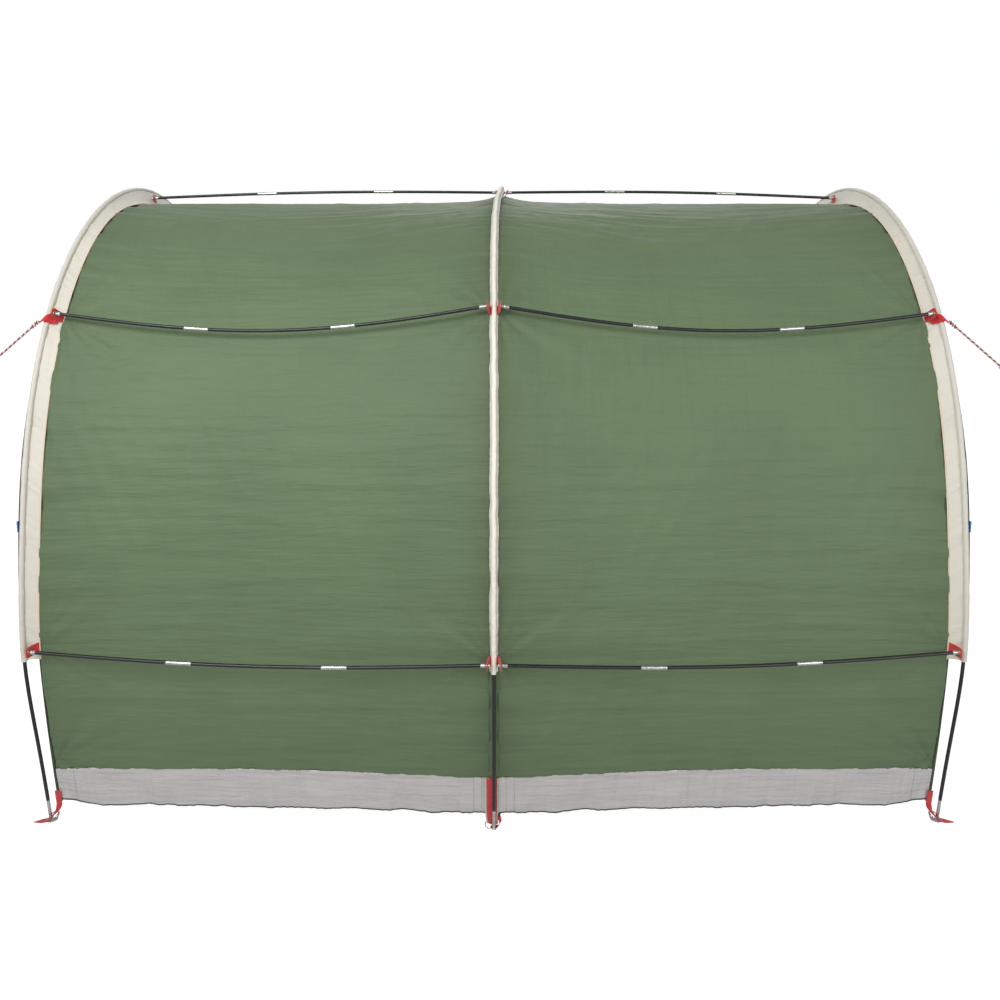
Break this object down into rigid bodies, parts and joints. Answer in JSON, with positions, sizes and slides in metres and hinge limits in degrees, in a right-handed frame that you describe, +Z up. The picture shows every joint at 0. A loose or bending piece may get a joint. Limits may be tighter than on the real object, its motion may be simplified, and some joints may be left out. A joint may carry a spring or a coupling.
{
  "type": "tunnel tent",
  "caption": "Tunnel tent or shelter of two cloth bays on hooped poles, with outside spreader poles, pole sleeves, skirts, doors, webbing tabs and guy lines.",
  "frame": {"origin": "on the ground under the middle of the tent", "axes": "+X along the tunnel to the right as seen from the front, +Y to the back, +Z up"},
  "size_m": [3.2406, 2.2166, 2.0784],
  "materials": {
    "fly_cloth": "matte coated taffeta, sage green",
    "sleeve_cloth": "matte coated taffeta, cream",
    "skirt_cloth": "matte coated taffeta, light grey",
    "webbing": "woven red webbing",
    "pole": "black fibreglass with a light gloss",
    "metal": "bright plated steel",
    "zip": "dark grey zip slider and puller",
    "cord": "braided guy cord, red and white"
  },
  "bodies": {
    "tent": {"hoop_pole_left": "pole", "hoop_pole_centre": "pole", "hoop_pole_right": "pole", "sleeve_left": "sleeve_cloth", "sleeve_centre": "sleeve_cloth", "sleeve_right": "sleeve_cloth", "fly_left": "fly_cloth", "skirt_left_front": "skirt_cloth", "skirt_left_back": "skirt_cloth", "fly_right": "fly_cloth", "skirt_right_front": "skirt_cloth", "skirt_right_back": "skirt_cloth", "tab_left_upper_front": "webbing", "tab_left_lower_front": "webbing", "tab_left_upper_back": "webbing", "tab_left_lower_back": "webbing", "tab_left_ridge": "webbing", "tab_centre_upper_front": "webbing", "tab_centre_lower_front": "webbing", "tab_centre_upper_back": "webbing", "tab_centre_lower_back": "webbing", "tab_centre_ridge": "webbing", "tab_right_upper_front": "webbing", "tab_right_lower_front": "webbing", "tab_right_upper_back": "webbing", "tab_right_lower_back": "webbing", "tab_right_ridge": "webbing", "spreader_left_ridge": "pole", "spreader_right_ridge": "pole", "foot_pin_left_front": "metal", "foot_strap_left_front": "webbing", "foot_pin_left_back": "metal", "foot_strap_left_back": "webbing", "foot_pin_centre_front": "metal", "foot_strap_centre_front": "webbing", "foot_pin_centre_back": "metal", "foot_strap_centre_back": "webbing", "foot_pin_right_front": "metal", "foot_strap_right_front": "webbing", "foot_pin_right_back": "metal", "foot_strap_right_back": "webbing", "end_wall_left": "fly_cloth", "end_wall_right": "fly_cloth", "guy_line_left": "cord", "guy_line_right": "cord"},
    "spreader_left_upper_front": {"spreader_left_upper_front": "pole"},
    "spreader_left_upper_back": {"spreader_left_upper_back": "pole"},
    "spreader_left_lower_front": {"spreader_left_lower_front": "pole"},
    "spreader_left_lower_back": {"spreader_left_lower_back": "pole"},
    "door_left": {"door_left": "fly_cloth"},
    "zip_slider_left": {"zip_slider_left": "zip"},
    "guy_runner_left": {"guy_runner_left": "metal"},
    "spreader_right_upper_front": {"spreader_right_upper_front": "pole"},
    "spreader_right_upper_back": {"spreader_right_upper_back": "pole"},
    "spreader_right_lower_front": {"spreader_right_lower_front": "pole"},
    "spreader_right_lower_back": {"spreader_right_lower_back": "pole"},
    "door_right": {"door_right": "fly_cloth"},
    "zip_slider_right": {"zip_slider_right": "zip"},
    "guy_runner_right": {"guy_runner_right": "metal"}
  },
  "joints": [
    {"name": "spreader_left_upper_front_swing", "type": "hinge", "parent": "tent", "child": "spreader_left_upper_front", "pos_m": [-0.70499, -0.83157, 1.6242], "axis": [-0.9996, 0.0208, -0.0186], "range_deg": [-20, 75]},
    {"name": "spreader_left_upper_back_swing", "type": "hinge", "parent": "tent", "child": "spreader_left_upper_back", "pos_m": [-0.70499, 0.83157, 1.6242], "axis": [0.9996, 0.0208, 0.0186], "range_deg": [-20, 75]},
    {"name": "spreader_left_lower_front_swing", "type": "hinge", "parent": "tent", "child": "spreader_left_lower_front", "pos_m": [-0.71293, -1.0689, 0.59325], "axis": [-0.9992, 0.0391, 0.0105], "range_deg": [-30, 75]},
    {"name": "spreader_left_lower_back_swing", "type": "hinge", "parent": "tent", "child": "spreader_left_lower_back", "pos_m": [-0.71293, 1.0689, 0.59325], "axis": [0.9992, 0.0391, -0.0105], "range_deg": [-30, 75]},
    {"name": "door_left_swing", "type": "hinge", "parent": "tent", "child": "door_left", "pos_m": [-1.402, 0.482, 0.8], "axis": [0, 0, -1], "range_deg": [0, 150]},
    {"name": "zip_slider_left_slide", "type": "slide", "parent": "tent", "child": "zip_slider_left", "axis": [0, 0, 1], "range_m": [-0.55, 0.5]},
    {"name": "guy_runner_left_slide", "type": "slide", "parent": "tent", "child": "guy_runner_left", "axis": [0.6962, 0.2437, 0.6753], "range_m": [-0.012, 0.15]},
    {"name": "spreader_right_upper_front_swing", "type": "hinge", "parent": "tent", "child": "spreader_right_upper_front", "pos_m": [0.70501, -0.83157, 1.6242], "axis": [-0.9996, -0.0208, 0.0186], "range_deg": [-20, 75]},
    {"name": "spreader_right_upper_back_swing", "type": "hinge", "parent": "tent", "child": "spreader_right_upper_back", "pos_m": [0.70501, 0.83157, 1.6242], "axis": [0.9996, -0.0208, -0.0186], "range_deg": [-20, 75]},
    {"name": "spreader_right_lower_front_swing", "type": "hinge", "parent": "tent", "child": "spreader_right_lower_front", "pos_m": [0.71293, -1.0689, 0.59325], "axis": [-0.9992, -0.0391, -0.0105], "range_deg": [-30, 75]},
    {"name": "spreader_right_lower_back_swing", "type": "hinge", "parent": "tent", "child": "spreader_right_lower_back", "pos_m": [0.71293, 1.0689, 0.59325], "axis": [0.9992, -0.0391, 0.0105], "range_deg": [-30, 75]},
    {"name": "door_right_swing", "type": "hinge", "parent": "tent", "child": "door_right", "pos_m": [1.402, 0.482, 0.8], "axis": [0, 0, 1], "range_deg": [0, 150]},
    {"name": "zip_slider_right_slide", "type": "slide", "parent": "tent", "child": "zip_slider_right", "axis": [0, 0, 1], "range_m": [-0.55, 0.5]},
    {"name": "guy_runner_right_slide", "type": "slide", "parent": "tent", "child": "guy_runner_right", "axis": [-0.6962, 0.2437, 0.6753], "range_m": [-0.012, 0.15]}
  ]
}
